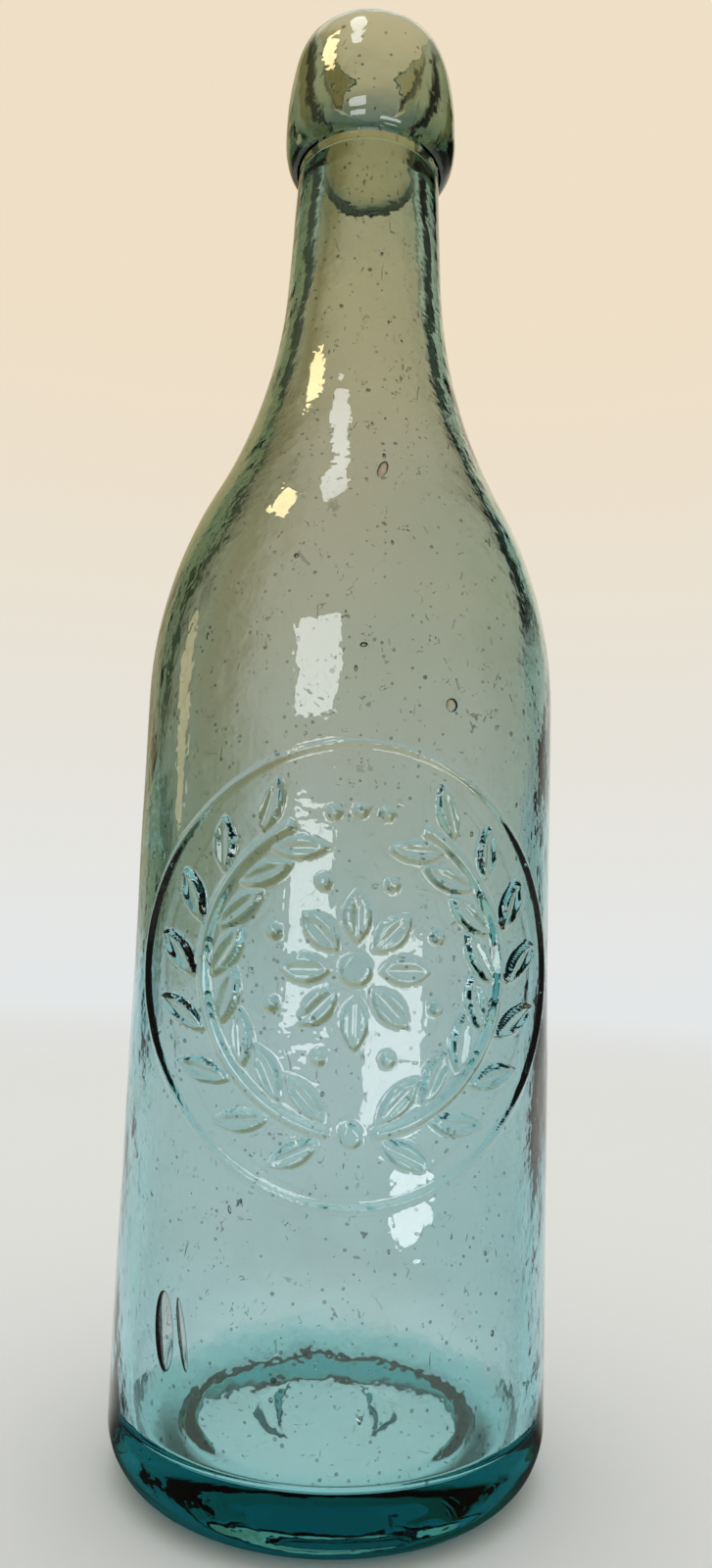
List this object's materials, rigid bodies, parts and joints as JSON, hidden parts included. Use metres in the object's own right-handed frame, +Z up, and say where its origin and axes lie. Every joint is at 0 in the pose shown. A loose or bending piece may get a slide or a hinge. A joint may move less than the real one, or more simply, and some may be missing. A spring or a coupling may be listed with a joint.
{
  "type": "blob top bottle",
  "caption": "Round glass drink bottle with a straight side, sloping shoulder, long neck and thick applied lip, and a raised round ornament on its front.",
  "frame": {"origin": "centre of the base, on the plane that the bottle stands on", "axes": "+Z up along the bottle's axis, -Y towards the plate on its front, +X to the right seen from the front"},
  "size_m": [0.067, 0.0678, 0.24],
  "materials": {
    "body_glass": "clear aqua glass, slightly wavy",
    "lip_glass": "clear aqua glass, hand shaped"
  },
  "bodies": {
    "root": {"bottle_body": "body_glass", "blob_lip": "lip_glass"}
  },
  "joints": []
}
